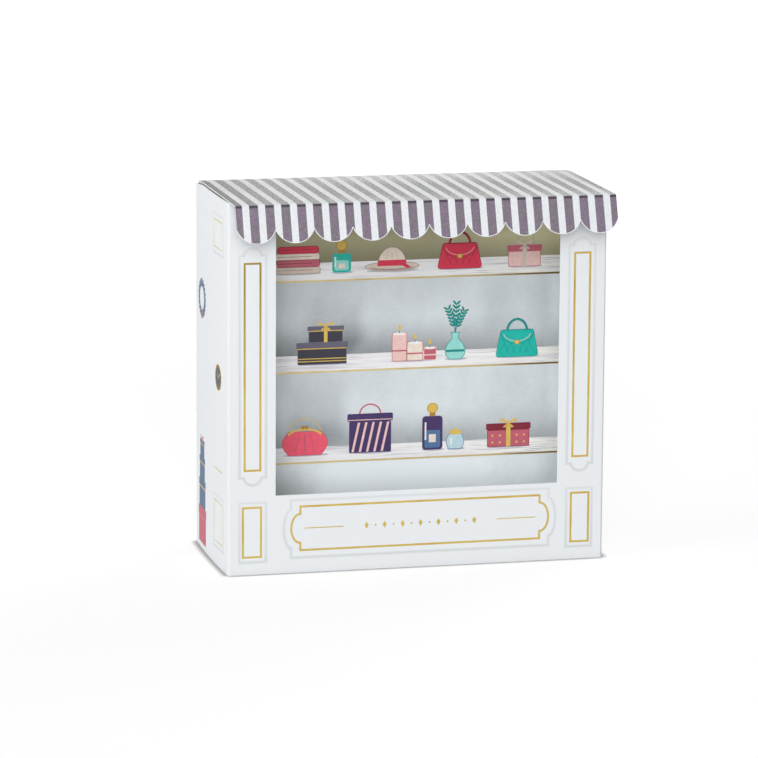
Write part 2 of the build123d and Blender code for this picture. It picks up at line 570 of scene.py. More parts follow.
def softBox(u, v, wide, high, corner=0.6, taper=0.0):  # stands on v, and narrows upward by taper
    w, t = wide / 2 - corner, taper
    return (
        arc(u - w, v + corner, corner, 180, 270, 4)
        + arc(u + w, v + corner, corner, 270, 360, 4)
        + arc(u + w - t, v + high - corner, corner, 0, 90, 4)
        + arc(u - w + t, v + high - corner, corner, 90, 180, 4)
    )


def sidesteps(points, closed):  # at each point, the way to the line's left that keeps its width
    steps = []
    last = len(points) - 1
    for k, (u, v) in enumerate(points):
        before = points[k - 1] if closed or k else None
        after = points[(k + 1) % len(points)] if closed or k < last else None
        ways = []
        for a, b in ((before, (u, v)), ((u, v), after)):
            if a and b:
                run = hypot(b[0] - a[0], b[1] - a[1])
                ways.append((-(b[1] - a[1]) / run, (b[0] - a[0]) / run))
        su, sv = sum(w[0] for w in ways) / len(ways), sum(w[1] for w in ways) / len(ways)
        square = su * su + sv * sv
        steps.append((su / square, sv / square))
    return steps


def beside(points, steps, reach):
    return [(u + su * reach, v + sv * reach) for (u, v), (su, sv) in zip(points, steps)]


def layOn(flat, face, name, material):  # flat artwork in millimetres becomes a piece on a face
    if face in (leftFace, rightFace):  # cut into strips, so that wide shapes follow the swell
        for k in range(1, ceil(sheet["boxDepth"] / sheet["strip"])):
            geometry = flat.verts[:] + flat.edges[:] + flat.faces[:]
            cut = (sheet["strip"] * k, 0, 0)
            bmesh.ops.bisect_plane(flat, geom=geometry, plane_co=cut, plane_no=(1, 0, 0))
    for vertex in flat.verts:
        vertex.co = Vector(face(*vertex.co)) * mm
    bmesh.ops.recalc_face_normals(flat, faces=flat.faces)
    mesh = bpy.data.meshes.new(name)
    flat.to_mesh(mesh)
    flat.free()
    mesh.materials.append(material)
    for polygon in mesh.polygons:
        polygon.material_index, polygon.use_smooth = 0, False
    piece = bpy.data.objects.new(name, mesh)
    bpy.context.scene.collection.objects.link(piece)
    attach(piece, "root")


dyes = {
    "beige": ink(224, 206, 192),
    "taupe": ink(172, 148, 138),
    "cream": ink(248, 232, 216),
    "blush": ink(248, 206, 200),
    "rose": ink(200, 98, 116),
    "red": ink(226, 50, 80),
    "deepRed": ink(150, 38, 58),
    "coral": ink(250, 94, 118),
    "burgundy": ink(132, 32, 54),
    "teal": ink(14, 188, 172),
    "deepTeal": ink(6, 140, 136),
    "paleTeal": ink(156, 226, 218),
    "night": ink(66, 46, 100),
    "black": ink(44, 42, 56),
    "smoke": ink(100, 96, 114),
    "paleBlue": ink(198, 226, 236),
    "slate": ink(84, 118, 162),
    "gold": ink(230, 194, 92),
    "deepGold": ink(176, 134, 54),
    "white": ink(252, 250, 248),
    "shade": ink(196, 196, 206),
    "sideBlue": ink(44, 82, 114),
    "sideRed": ink(178, 66, 88),
}


class Artwork:  # flat shapes of ink, each a very thin closed slab
    sunk = 0.03  # how far a slab reaches into the card
    firstLayer, nextLayer = 0.014, 0.009  # how high the lowest shapes are, and each layer over them
    rimWidth, rimOver = 0.2, 0.4  # of a thin drawn contour, and its share of a layer over the shape

    def __init__(self):
        self.flat = bmesh.new()
        self.ink = self.flat.loops.layers.float_color.new("ink")
        self.depth = self.flat.loops.layers.float.new("depth")
        self.standAt(0.0, 0.0)

    def standAt(self, u, v, size=1.0):  # what is drawn next is measured from here
        self.spot = u, v, size

    def corners(self, outline, height):
        u, v, size = self.spot
        return [self.flat.verts.new((u + size * a, v + size * b, height)) for a, b in outline]

    def paint(self, faces, dye):
        for face in faces:
            for corner in face.loops:
                corner[self.ink] = dyes[dye]

    def field(self, outline, dye, over=0, rim=None):  # over puts a shape on top of those under it
        top = self.corners(outline, self.firstLayer + self.nextLayer * over)
        foot = self.corners(outline, -self.sunk)
        faces = [self.flat.faces.new(top), self.flat.faces.new(foot[::-1])]
        for k in range(len(outline)):
            faces.append(self.flat.faces.new((top[k - 1], foot[k - 1], foot[k], top[k])))
        self.paint(faces, dye)
        bmesh.ops.triangulate(self.flat, faces=faces[:2])
        if rim:
            self.line(outline, self.rimWidth, rim, over + self.rimOver, True)

    def line(self, points, width, dye, over=0, closed=False):
        steps = sidesteps(points, closed)
        left, right = beside(points, steps, width / 2), beside(points, steps, -width / 2)
        if not closed:
            self.field(left + right[::-1], dye, over)
            return
        height = self.firstLayer + self.nextLayer * over
        rings = ((left, height), (right, height), (right, -self.sunk), (left, -self.sunk))
        self.paint(self.skin([self.corners(side, h) for side, h in rings]), dye)

    def skin(self, rings):  # a closed band through closed rings of points
        faces = []
        for a, b in zip(rings, rings[1:] + rings[:1]):
            for k in range(len(a)):
                faces.append(self.flat.faces.new((a[k - 1], a[k], b[k], b[k - 1])))
        return faces

    def softLine(self, points):  # of drawn moulding: closed, and fades to both sides
        half, high, edge = moulding["width"] / 2, moulding["height"], moulding["edgeHeight"]
        lit, foot = moulding["litTop"], -self.sunk
        steps = sidesteps(points, True)
        rings = ((half, edge), (0, high), (-half, edge), (-half, foot), (half, foot))
        rings = [self.corners(beside(points, steps, reach), height) for reach, height in rings]
        strength = {}  # of the line at each corner: it is a ledge, lit from above
        for vertex, (stepU, stepV) in zip(rings[1], steps):
            strength[vertex] = lit + (1 - lit) * (stepV / hypot(stepU, stepV) + 1) / 2
        for face in self.skin(rings):
            for corner in face.loops:
                corner[self.depth] = strength.get(corner.vert, 0.0)


class Grower(Bench):  # one Geometry Nodes tree, with a named input for each size
    weld = 0.0001  # points closer than this become one

    def __init__(self, name, sizes):
        super().__init__(bpy.data.node_groups.new(name, "GeometryNodeTree"))
        self.socket("Geometry", "INPUT", "Geometry")
        for size, kind in sizes.items():
            self.socket(size, "INPUT", kind)
        self.socket("Geometry", "OUTPUT", "Geometry")
        self.given, *inputs = self.node("NodeGroupInput", out="all")
        self.size = dict(zip(sizes, inputs))

    def socket(self, name, side, kind):
        self.tree.interface.new_socket(name, in_out=side, socket_type="NodeSocket" + kind)

    def shape(self, kind, settings=None, **inputs):  # where an underscore stands for a space
        named = {name.replace("_", " "): value for name, value in inputs.items()}
        return self.node("GeometryNode" + kind, settings, named)

    def join(self, *parts):
        made = self.tree.nodes.new("GeometryNodeJoinGeometry")
        for part in parts:
            self.feed(made, 0, part)
        return Wire(self, made.outputs[0])

    def disc(self, corners, radius):
        return self.shape("MeshCircle", {"fill_type": "NGON"}, Vertices=corners, Radius=radius)

    def slab(self, flat, height):  # a closed one on a flat shape
        raised = {"Mesh": flat, "Offset_Scale": height, "Individual": False}
        top = self.shape("ExtrudeMesh", {"mode": "FACES"}, **raised)
        both = self.join(top, self.shape("FlipFaces", Mesh=flat))
        return self.shape("MergeByDistance", Geometry=both, Distance=self.weld)

    def strip(self, curve, width, height, scale=1.0):  # lies flat along a curve
        curve = self.shape("SetCurveNormal", {"mode": "FREE"}, Curve=curve, Normal=(0, 0, 1))
        profile = self.shape("CurvePrimitiveQuadrilateral", Width=height, Height=width)
        return self.shape("CurveToMesh", Curve=curve, Profile_Curve=profile, Scale=scale, Fill_Caps=True)

    def finish(self, geometry):
        solid = self.shape("RealizeInstances", Geometry=geometry)
        finished = self.shape("SetMaterial", Geometry=solid, Material=self.size["Material"])
        self.feed(self.tree.nodes.new("NodeGroupOutput"), 0, finished)
        return self.tree


def foilLineTree():  # turns flat outlines into strips of foil with mitred corners
    bench = Grower("foilLine", {"Width": "Float", "Height": "Float", "Material": "Material"})
    curve = bench.shape("MeshToCurve", Mesh=bench.given)
    nextPoint = {0: bench.shape("InputIndex"), 1: 1}
    isNext, following = bench.node("GeometryNodeOffsetPointInCurve", None, nextPoint, "all")
    place = bench.shape("InputPosition")
    atNext = {"domain": "POINT", "data_type": "FLOAT_VECTOR"}
    ahead = bench.shape("FieldAtIndex", atNext, Value=place, Index=following)
    run = bench.vector("NORMALIZE", bench.vector("SUBTRACT", ahead, place))
    lean = bench.vector("DOT_PRODUCT", run, bench.shape("InputTangent"), out=1)
    choice = {"Switch": isNext, "False": 1.0, "True": 1 / lean}
    mitre = bench.shape("Switch", {"input_type": "FLOAT"}, **choice)
    return bench.finish(bench.strip(curve, bench.size["Width"], bench.size["Height"], mitre))


def ornamentTree():  # a row of lozenges with a dot between each two
    sizes = {"Count": "Int", "Pitch": "Float", "Lozenge": "Float", "Dot": "Float", "Height": "Float"}
    bench = Grower("ornamentRow", sizes | {"Material": "Material"})
    size = bench.size

    def row(fewer, corners, radius, squeeze):  # of one flat shape
        count = size["Count"] - fewer
        line = {"Count": count, "Start_Location": bench.combine(X=(1 - count) * (size["Pitch"] / 2))}
        line |= {"Offset": bench.combine(X=size["Pitch"])}
        points = bench.shape("MeshLine", {"mode": "OFFSET"}, **line)
        flat = bench.shape("Transform", Geometry=bench.disc(corners, radius), Scale=(squeeze, 1, 1))
        return bench.shape("InstanceOnPoints", Points=points, Instance=bench.slab(flat, size["Height"]))

    return bench.finish(bench.join(row(0, 4, size["Lozenge"], 0.55), row(1, 14, size["Dot"], 1.0)))


leafRise = {"first": 1.1, "next": 0.03, "side": 0.015}  # in leaf heights, so that no two lie level


def leafSprayTree():  # leaves in pairs along a stem, which is a flat line
    sizes = {
        "Leaves": "Int", "Leaf Length": "Float", "Leaf Width": "Float", "Spread": "Float",
        "Bare": "Float", "Stem": "Float", "Height": "Float", "Ink": "Color", "Material": "Material",
    }
    bench = Grower("leafSpray", sizes)
    size = bench.size
    curve = bench.shape("MeshToCurve", Mesh=bench.given)
    leafy = bench.shape("TrimCurve", Curve=curve, Start=size["Bare"])
    captured = bench.tree.nodes.new("GeometryNodeCaptureAttribute")
    captured.capture_items.new("VECTOR", "Way")
    bench.feed(captured, 0, bench.shape("ResampleCurve", Curve=leafy, Count=size["Leaves"]))
    bench.feed(captured, 1, bench.shape("InputTangent"))
    points, way = Wire(bench, captured.outputs[0]), Wire(bench, captured.outputs[1])
    along = {"axis": "X", "pivot_axis": "Z"}
    turned = bench.node("FunctionNodeAlignRotationToVector", along, {"Vector": way})
    order = bench.shape("InputIndex")
    long, wide, spread, height = (size[n] for n in ("Leaf Length", "Leaf Width", "Spread", "Height"))
    parts = [bench.strip(curve, size["Stem"], height * 2)]
    for side in (1, -1):
        leaf = bench.shape("Transform", Geometry=bench.disc(10, 0.5), Translation=(0.5, 0, 0))
        leaf = bench.shape("Transform", Geometry=leaf, Scale=bench.combine(X=long, Y=wide, Z=1.0))
        leaf = bench.shape("Transform", Geometry=leaf, Rotation=bench.combine(Z=spread * side))
        leaf = bench.slab(leaf, height)
        rise = order * leafRise["next"] + (leafRise["first"] + leafRise["side"] * side)
        spot = {"Points": points, "Instance": leaf, "Rotation": turned}
        spot |= {"Scale": bench.combine(X=1.0, Y=1.0, Z=rise)}
        parts.append(bench.shape("InstanceOnPoints", **spot))
    solid = bench.shape("RealizeInstances", Geometry=bench.join(*parts))
    carry = {"data_type": "FLOAT_COLOR", "domain": "CORNER"}
    inked = bench.shape("StoreNamedAttribute", carry, Geometry=solid, Name="ink", Value=size["Ink"])
    return bench.finish(inked)


trees = {"foilLine": foilLineTree(), "ornament": ornamentTree(), "leafSpray": leafSprayTree()}


def grown(tree, sizes, outlines=()):  # runs a tree on flat outlines and gives its mesh
    seed = bpy.data.meshes.new("seed")
    points, edges = [], []
    for outline, closed in outlines:
        start, count = len(points), len(outline)
        points += [(u, v, 0) for u, v in outline]
        edges += [(start + k, start + (k + 1) % count) for k in range(count if closed else count - 1)]
    seed.from_pydata(points, edges, [])
    holder = bpy.data.objects.new("holder", seed)
    bpy.context.scene.collection.objects.link(holder)
    modifier = holder.modifiers.new("grow", "NODES")
    modifier.node_group = tree
    for item in tree.interface.items_tree:
        if item.item_type == "SOCKET" and item.in_out == "INPUT" and item.name in sizes:
            modifier[item.identifier] = sizes[item.name]
    graph = bpy.context.evaluated_depsgraph_get()
    mesh = bpy.data.meshes.new_from_object(holder.evaluated_get(graph))
    holder.modifiers.clear()
    bpy.data.objects.remove(holder)
    flat = bmesh.new()
    flat.from_mesh(mesh)
    bmesh.ops.triangulate(flat, faces=[f for f in flat.faces if len(f.verts) > 4])
    return flat


print("trees built:", len(trees))


def foilOn(outlines, width, face, name, look):
    sizes = {"Width": width, "Height": 2 * foil["height"], "Material": look}
    layOn(grown(trees["foilLine"], sizes, outlines), face, name, look)


def leavesOn(stems, leaves, dye, face, name):
    sizes = leaves | {"Ink": dyes[dye], "Material": looks["ink"]}
    outlines = [(stem, False) for stem in stems]
    layOn(grown(trees["leafSpray"], sizes, outlines), face, name, looks["ink"])


# The front: gold frames with a drawn moulding round each, the same on both sides of the window
panels = {
    "middle": 9.0,  # of the tall frames, from the front's edge
    "tallHalf": 2.87,
    "tallFoot": 38.35,
    "tallTop": 113.5,
    "smallLeft": 5.5,
    "smallRight": 12.15,
    "smallFoot": 6.5,
    "smallTop": 24.7,
    "foilWidth": 0.75,
    "mouldingLeft": 4.3,
    "mouldingRight": 13.95,
    "smallMoulding": (4.65, 26.45),  # foot and top
    "shoulderFoot": 35.7,
    "shoulderTop": 116.35,
    "shoulderWide": 1.55,
    "archRise": 2.7,
    "archStep": 0.35,  # from a shoulder up to where the arch starts
    "archSteps": 6,  # to each side of its middle
}

sign = {
    "middle": 71.3,
    "frame": {"corner": 26.65, "top": 24.4, "foot": 8.3, "step": 2.7, "bulge": 3.35},
    "moulding": {"corner": 23.2, "top": 26.75, "foot": 5.6, "step": 3.5, "bulge": 2.6},
    "ruleInner": 42.7,
    "ruleOuter": 28.1,
    "ruleWidth": 0.36,
    "ornaments": {"Count": 7, "Pitch": 6.7, "Lozenge": 1.35, "Dot": 0.36, "Height": foil["height"]},
}


def tallMoulding():  # square shoulders, and a shallow arch over and under them
    p = panels
    left, right, foot, top = p["mouldingLeft"], p["mouldingRight"], p["shoulderFoot"], p["shoulderTop"]
    inLeft, inRight = left + p["shoulderWide"], right - p["shoulderWide"]
    middle, half = (inLeft + inRight) / 2, (inRight - inLeft) / 2
    rise = p["archRise"] - p["archStep"]
    radius = (half**2 + rise**2) / (2 * rise)
    aside = [half * k / p["archSteps"] for k in range(p["archSteps"], -p["archSteps"] - 1, -1)]
    arch = [(middle + u, p["archRise"] - radius + sqrt(radius**2 - u**2)) for u in aside]
    return (
        [(left, top), (left, foot), (inLeft, foot)]
        + [(u, foot - v) for u, v in arch[::-1]]
        + [(inRight, foot), (right, foot), (right, top), (inRight, top)]
        + [(u, top + v) for u, v in arch]
        + [(inLeft, top)]
    )


def mirrored(outline, middle):
    return [(2 * middle - u, v) for u, v in outline][::-1]


def signOutline(corner, top, foot, step, bulge):  # a rectangle with half an oval at each end
    middle, half = (top + foot) / 2, (top - foot) / 2 - step
    leftEnd = arc(corner, middle, bulge, 90, 270, 18, half / bulge)
    left = [(corner, top)] + leftEnd + [(corner, foot)]
    return left + mirrored(left, sign["middle"])


def frontPrint():
    p, s = panels, sign
    tall = rectangle(p["middle"] - p["tallHalf"], p["tallFoot"], p["middle"] + p["tallHalf"], p["tallTop"])
    small = rectangle(p["smallLeft"], p["smallFoot"], p["smallRight"], p["smallTop"])
    outlines = []
    for outline in (tall, small):
        outlines += [(outline, True), (mirrored(outline, frontWidth / 2), True)]
    outlines.append((signOutline(**s["frame"]), True))
    foilOn(outlines, p["foilWidth"], frontFace, "frontFoilFrames", looks["foil"])

    level = (s["frame"]["top"] + s["frame"]["foot"]) / 2
    rule = [(s["ruleOuter"], level), (s["ruleInner"], level)]
    rules = [(rule, False), (mirrored(rule, s["middle"]), False)]
    foilOn(rules, s["ruleWidth"], frontFace, "signFoilRules", looks["foil"])

    row = grown(trees["ornament"], s["ornaments"] | {"Material": looks["foil"]})
    bmesh.ops.translate(row, verts=row.verts, vec=(s["middle"], level, 0))
    layOn(row, frontFace, "signFoilOrnament", looks["foil"])

    art = Artwork()
    low, high = p["smallMoulding"]
    for outline in (tallMoulding(), rectangle(p["mouldingLeft"], low, p["mouldingRight"], high)):
        art.softLine(outline)
        art.softLine(mirrored(outline, frontWidth / 2))
    art.softLine(signOutline(**s["moulding"]))
    layOn(art.flat, frontFace, "frontMouldings", looks["moulding"])


frontPrint()
print("front printed")

# The shop's wall: three shelves of wares, painted on the inside of the back
shelves = {
    "left": 0.95,
    "right": 139.05,
    "foilWidth": 0.7,
    "foot": 2.9,  # from a shelf's gold line up to where the wares stand
    "wareSize": 1.12,  # of the wares, against the sizes that they are drawn to
}


# Every ware is drawn standing on its own zero
def bothSides(right):  # a whole outline from its right half, foot first
    return right + [(-u, v) for u, v in right[::-1]]


def cushion(wide, high, bulge, steps=8):  # a box whose sides swell out
    rise = [k / steps for k in range(steps + 1)]
    return bothSides([(wide / 2 + bulge * sin(pi * r), high * r) for r in rise])


def bow(art, u, v, size, dye, over):
    for side in (-1, 1):
        loop = [(u, v), (u + side * size, v + size * 0.62), (u + side * size * 1.15, v + size * 0.1)]
        art.field(loop[::side], dye, over)
        tail = [(u, v), (u + side * size * 0.75, v - size * 0.62), (u + side * size * 0.4, v - size * 0.7)]
        art.field(tail[::-side], dye, over)
    art.field(oval(u, v, size * 0.5, size * 0.5, 12), dye, over + 1)


def underShade(art, wide):
    art.field(oval(0.3, 0.05, wide + 0.8, 1.0), "shade")


def boxWithLid(art, u, v, wide, high, dye, lid, ribbon, over=1):
    lidHigh = high * 0.27
    lidFoot = v + high - lidHigh
    art.field(softBox(u, v, wide, high - lidHigh, 0.35), dye, over, lid)
    art.field(softBox(u, lidFoot, wide + 1.0, lidHigh, 0.3), lid, over + 1)
    art.field(rectangle(u - wide / 2, lidFoot - 0.3, u + wide / 2, lidFoot), ribbon, over + 2)
    return v + high


def giftBox(art, wide, high, dye, lid, ribbon):
    underShade(art, wide)
    top = boxWithLid(art, 0, 0, wide, high, dye, lid, lid)
    for column in (-0.38, -0.2, 0.2, 0.38):
        for row in (0.18, 0.48):
            art.field(oval(wide * column, high * row, 0.75, 0.75, 8), ribbon, 2)
    art.field(rectangle(-0.75, 0, 0.75, top), ribbon, 4)
    bow(art, 0, top + 0.3, 2.6, ribbon, 4)


def hatBoxes(art):
    underShade(art, 16)
    top = boxWithLid(art, 0, 0, 16.5, 7.4, "black", "smoke", "gold")
    for level in (1.0, 1.9):
        art.line([(-8.2, level), (8.2, level)], 0.3, "gold", 3)
    upper = boxWithLid(art, 1.2, top, 11.4, 5.4, "black", "smoke", "gold", 2)
    art.field(rectangle(0.6, top, 1.8, upper), "gold", 5)
    bow(art, 1.2, upper + 0.2, 2.3, "gold", 5)


def stripedBox(art):
    underShade(art, 14)
    wide, high, lean = 14.4, 10.6, 2.2
    art.field(softBox(0, 0, wide, high, 0.5), "night", 1)
    for k in range(5):
        left = 0.8 + 2.5 * k - wide / 2
        strip = [(left, 0.3), (left + 0.8, 0.3), (left + 0.8 + lean, high - 0.3), (left + lean, high - 0.3)]
        art.field(strip, "blush", 2)
    art.field(softBox(0, high, wide + 1.2, 2.7, 0.5), "night", 2)
    art.line([(-wide / 2 - 0.4, high + 0.55), (wide / 2 + 0.4, high + 0.55)], 0.28, "blush", 3)
    art.line(arc(0, high + 2.4, 3.6, 5, 175, 14, 0.95), 0.5, "rose", 3)


def clothPile(art):
    underShade(art, 15)
    folded = (
        ("beige", "taupe", 15.5),
        ("rose", "burgundy", 14.6),
        ("cream", "taupe", 15.0),
        ("red", "deepRed", 13.8),
    )
    for k, (dye, fold, wide) in enumerate(folded):
        foot = 2.25 * k
        art.field(softBox(0.3 * (k % 2), foot, wide, 2.35, 0.9), dye, 1 + k % 2, fold)
        art.line([(-wide * 0.44, foot + 1.15), (wide * 0.34, foot + 1.25)], 0.18, fold, 3)


def sunHat(art):
    underShade(art, 17)
    art.field(oval(0, 1.5, 18.5, 3.1), "beige", 1, "taupe")
    art.field(arc(0, 1.7, 4.9, 0, 180, 16, 1.28), "cream", 2, "taupe")
    for k in (-1, 0, 1):
        art.line([(1.9 * k, 3.6), (1.5 * k, 6.6)], 0.16, "beige", 3)
    art.field([(-4.85, 1.7), (4.85, 1.7), (4.7, 3.6), (-4.7, 3.6)], "red", 3)
    for k in range(3):
        art.line(arc(0, 1.5, 6.4 + 0.9 * k, 195, 345, 12, 0.15), 0.16, "taupe", 3)
    art.field([(3.2, 3.3), (6.6, 1.0), (5.2, 0.7), (2.6, 2.2)], "red", 4)


def scentBottle(art, wide, high, glass, light, stopper):
    underShade(art, wide)
    art.field(softBox(0, 0, wide, high, 1.1), glass, 1)
    art.field(softBox(0, 0.7, wide - 1.6, high * 0.52, 0.6), light, 2)
    art.field(rectangle(-wide * 0.17, high * 0.22, wide * 0.17, high * 0.46), "cream", 3)
    art.field(rectangle(-wide * 0.38, high * 0.3, -wide * 0.3, high * 0.82), "white", 3)
    art.field(rectangle(-1.0, high - 0.1, 1.0, high + 1.2), "deepGold", 2)
    art.field(oval(0, high + 2.7, 3.6, 3.4, 16), stopper, 3, "deepGold")


def handbag(art, wide, high, leather, dark):
    underShade(art, wide)
    art.line(arc(0, high - 0.8, wide * 0.24, 8, 172, 14, 1.25), 0.85, dark, 1)
    art.field(softBox(0, 0, wide, high, 1.0, wide * 0.1), leather, 2, dark)
    for k in range(-2, 3):
        for lean in (-1.6, 1.6):
            art.line([(2.2 * k - lean, 1.1), (2.2 * k + lean, high - 1.0)], 0.14, dark, 2.6)
    top, side = high - 0.15, wide * 0.38
    flap = [(side, top), (-side, top)] + arc(0, top - 0.6, side + 0.2, 188, 352, 14, 0.72)
    art.field(flap, leather, 3, dark)
    art.line(arc(0, top - 0.6, side - 0.7, 194, 346, 12, 0.66), 0.16, "blush", 4)
    art.field(oval(0, top - 0.75 * side, 1.7, 1.5, 12), "gold", 5, "deepGold")


def candles(art):
    underShade(art, 15)
    row = (
        (-4.4, 5.0, 9.6, "blush", "rose"),
        (0.9, 5.4, 6.4, "cream", "rose"),
        (6.1, 4.2, 4.4, "rose", "blush"),
    )
    for u, wide, high, wax, band in row:
        art.field(softBox(u, 0, wide, high, 0.5), wax, 1, band)
        art.field(oval(u, high - 0.35, wide - 0.5, 0.9, 18), "white", 2)
        art.line([(u, high - 0.2), (u, high + 1.0)], 0.22, "smoke", 3)
        flame = bothSides([(0.1, 0), (0.55, 0.55), (0.45, 1.1), (0.06, 2.2)])
        art.field([(u + a, high + 0.8 + b) for a, b in flame], "gold", 4)
        art.field(rectangle(u - wide / 2, high * 0.34, u + wide / 2, high * 0.34 + 0.5), band, 2)


def clutch(art):
    underShade(art, 15)
    art.field(cushion(11.0, 8.0, 2.3), "coral", 1, "rose")
    for k in (-1, 0, 1):
        art.line([(1.7 * k, 7.3), (3.3 * k, 1.0)], 0.24, "rose", 2)
    art.line(arc(0, 6.4, 5.7, 12, 168, 16, 0.42), 0.7, "gold", 3)
    for side in (-1, 1):
        art.field(oval(0.62 * side, 9.45, 1.3, 1.3, 12), "deepGold", 4)
    art.line(arc(0, 7.0, 5.6, 0, 180, 20, 0.98), 0.26, "gold", 0)


def jar(art, wide, high, glaze, lid):
    underShade(art, wide)
    art.field(cushion(wide * 0.8, high, wide * 0.14), glaze, 2, "slate")
    art.field(rectangle(-wide * 0.3, high * 0.3, -wide * 0.2, high * 0.75), "white", 3)
    art.field(softBox(0, high - 0.1, wide * 0.72, 1.5, 0.4), lid, 3)
    art.field(oval(0, high + 1.7, 1.1, 1.0, 12), lid, 4)


vaseHalf = ((2.0, 0), (3.2, 1.4), (3.5, 3.1), (2.7, 5.2), (1.2, 6.8), (1.1, 8.2), (1.6, 9.0))


def vase(art, glaze, band):
    underShade(art, 7)
    art.field(bothSides(list(vaseHalf)), glaze, 1, band)
    art.field(rectangle(-3.2, 2.4, 3.2, 3.2), band, 2)


def vaseStems():
    high = vaseHalf[-1][1] - 0.2
    for lean, rise in ((-2.4, 8.0), (0.4, 9.6), (2.9, 7.2)):
        yield [(lean * (k / 5) ** 1.4, high + rise * k / 5) for k in range(6)]


wares = (  # from the lowest shelf: place across, what stands there, and its sizes and dyes
    (
        (13.0, giftBox, 11.0, 8.5, "slate", "night", "gold"),
        (41.0, clutch),
        (66.0, stripedBox),
        (90.0, scentBottle, 7.0, 11.5, "night", "slate", "gold"),
        (98.8, jar, 5.6, 5.0, "paleBlue", "gold"),
        (119.5, giftBox, 14.5, 8.0, "rose", "burgundy", "gold"),
    ),
    (
        (15.0, vase, "burgundy", "rose"),
        (47.5, hatBoxes),
        (82.0, candles),
        (98.5, vase, "paleTeal", "deepTeal"),
        (122.5, handbag, 14.5, 9.2, "teal", "deepTeal"),
    ),
    (
        (14.0, jar, 8.0, 7.0, "teal", "gold"),
        (38.0, clothPile),
        (54.8, scentBottle, 6.4, 6.4, "teal", "paleTeal", "gold"),
        (74.0, sunHat),
        (100.0, handbag, 15.0, 8.6, "red", "deepRed"),
        (125.0, giftBox, 11.0, 7.2, "blush", "rose", "beige"),
    ),
)

sprig = {
    "Leaves": 6, "Leaf Length": 2.1, "Leaf Width": 0.85, "Spread": 0.75, "Bare": 0.28, "Stem": 0.26,
    "Height": 0.022,
}


def shopPrint():
    treads, art = Artwork(), Artwork()
    lines, stems = [], []
    left, right, size = shelves["left"], shelves["right"], shelves["wareSize"]
    for k, row in enumerate(wares):
        level = shopWall["lowestShelf"] + shopWall["shelfPitch"] * k
        depth = tread["lowestDepth"] + tread["growth"] * k
        treads.field(rectangle(left, level, right, level + depth), "white", -1)
        lines.append(([(left, level), (right, level)], False))
        foot = level + shelves["foot"]
        for place, draw, *details in row:
            art.standAt(place, foot, size)
            draw(art, *details)
            if draw is vase:
                stems += [[(place + size * u, foot + size * v) for u, v in stem] for stem in vaseStems()]
    layOn(treads.flat, shopWallFace, "shelfTreads", looks["tread"])
    foilOn(lines, shelves["foilWidth"], shopWallFace, "shelfFoilLines", looks["shelfFoil"])
    layOn(art.flat, shopWallFace, "shopGoods", looks["ink"])
    leavesOn(stems, sprig, "deepTeal", shopWallFace, "shopSprays")


shopPrint()
print("shop wall printed")

# The sides. What is near the middle of their swell would stand out furthest, so it is left bare.
sideArt = {
    "frames": ((8.6, 117.0, 20.8, 127.0), (8.6, 9.0, 20.8, 24.0)),
    "frameWidth": 0.55,
    "mouldingGap": 2.1,  # from a frame out to the moulding round it
    "rule": (8.6, 36.0, 20.8),
    "clock": (14.7, 70.0, 5.0),  # place and radius
    "wreath": (44.0, 94.0, 5.6),
    "drumsAt": (44.0, 2.2),
    "drums": (  # width, height, dye and band
        (14.0, 13.5, "sideRed", "rose"),
        (12.0, 10.5, "sideBlue", "gold"),
        (10.0, 8.5, "sideBlue", "gold"),
        (8.0, 6.5, "sideBlue", "gold"),
    ),
}

wreathLeaves = {
    "Leaves": 22, "Leaf Length": 2.7, "Leaf Width": 1.2, "Spread": 0.6, "Bare": 0.0, "Stem": 0.4,
    "Height": 0.022,
}


def sideFrames(face, side):
    art = Artwork()
    outlines = []
    gap = sideArt["mouldingGap"]
    for left, foot, right, top in sideArt["frames"]:
        outlines.append((rectangle(left, foot, right, top), True))
        art.softLine(rectangle(left - gap, foot - gap, right + gap, top + gap))
    if face is leftFace:
        left, level, right = sideArt["rule"]
        outlines.append(([(left, level), (right, level)], False))
    foilOn(outlines, sideArt["frameWidth"], face, side + "FoilFrames", looks["sideFoil"])
    layOn(art.flat, face, side + "Mouldings", looks["moulding"])


def spoke(degreesRound, near, far):
    way = radians(degreesRound)
    return [(r * cos(way), r * sin(way)) for r in (near, far)]


def clock(art, radius):  # with plain marks for the hours
    art.field(oval(0, 0, 2 * radius, 2 * radius, 40), "gold", 0)
    art.field(oval(0, 0, 2 * radius - 0.9, 2 * radius - 0.9, 40), "black", 1)
    for hour in range(12):
        art.line(spoke(30 * hour, radius * 0.68, radius * 0.82), 0.3, "gold", 2)
    for way, reach in ((60, 0.42), (150, 0.6)):
        art.line(spoke(way, 0, radius * reach), 0.36, "gold", 2)
    art.field(oval(0, 0, 0.9, 0.9, 12), "gold", 3)


def drumBoxes(art):
    foot = 0.0
    for wide, high, dye, band in sideArt["drums"]:
        lidFoot = foot + high * 0.74
        art.field(softBox(0, foot, wide, high, 0.5), dye, 1)
        art.field(softBox(0, lidFoot, wide + 0.9, high * 0.26, 0.4), dye, 2)
        art.field(rectangle(-wide / 2, foot + high * 0.7, wide / 2, lidFoot), band, 3)
        foot += high
    bow(art, 0, foot + 0.3, 2.4, "rose", 3)


def leftPrint():
    art = Artwork()
    u, v, radius = sideArt["clock"]
    art.standAt(u, v)
    clock(art, radius)
    art.standAt(*sideArt["drumsAt"])
    drumBoxes(art)
    u, v, radius = sideArt["wreath"]
    art.standAt(u, v)
    bow(art, 0, -radius, 2.4, "sideRed", 3)
    layOn(art.flat, leftFace, "leftPrint", looks["ink"])
    leavesOn([arc(u, v, radius, -84, 264, 40)], wreathLeaves, "sideBlue", leftFace, "leftWreath")


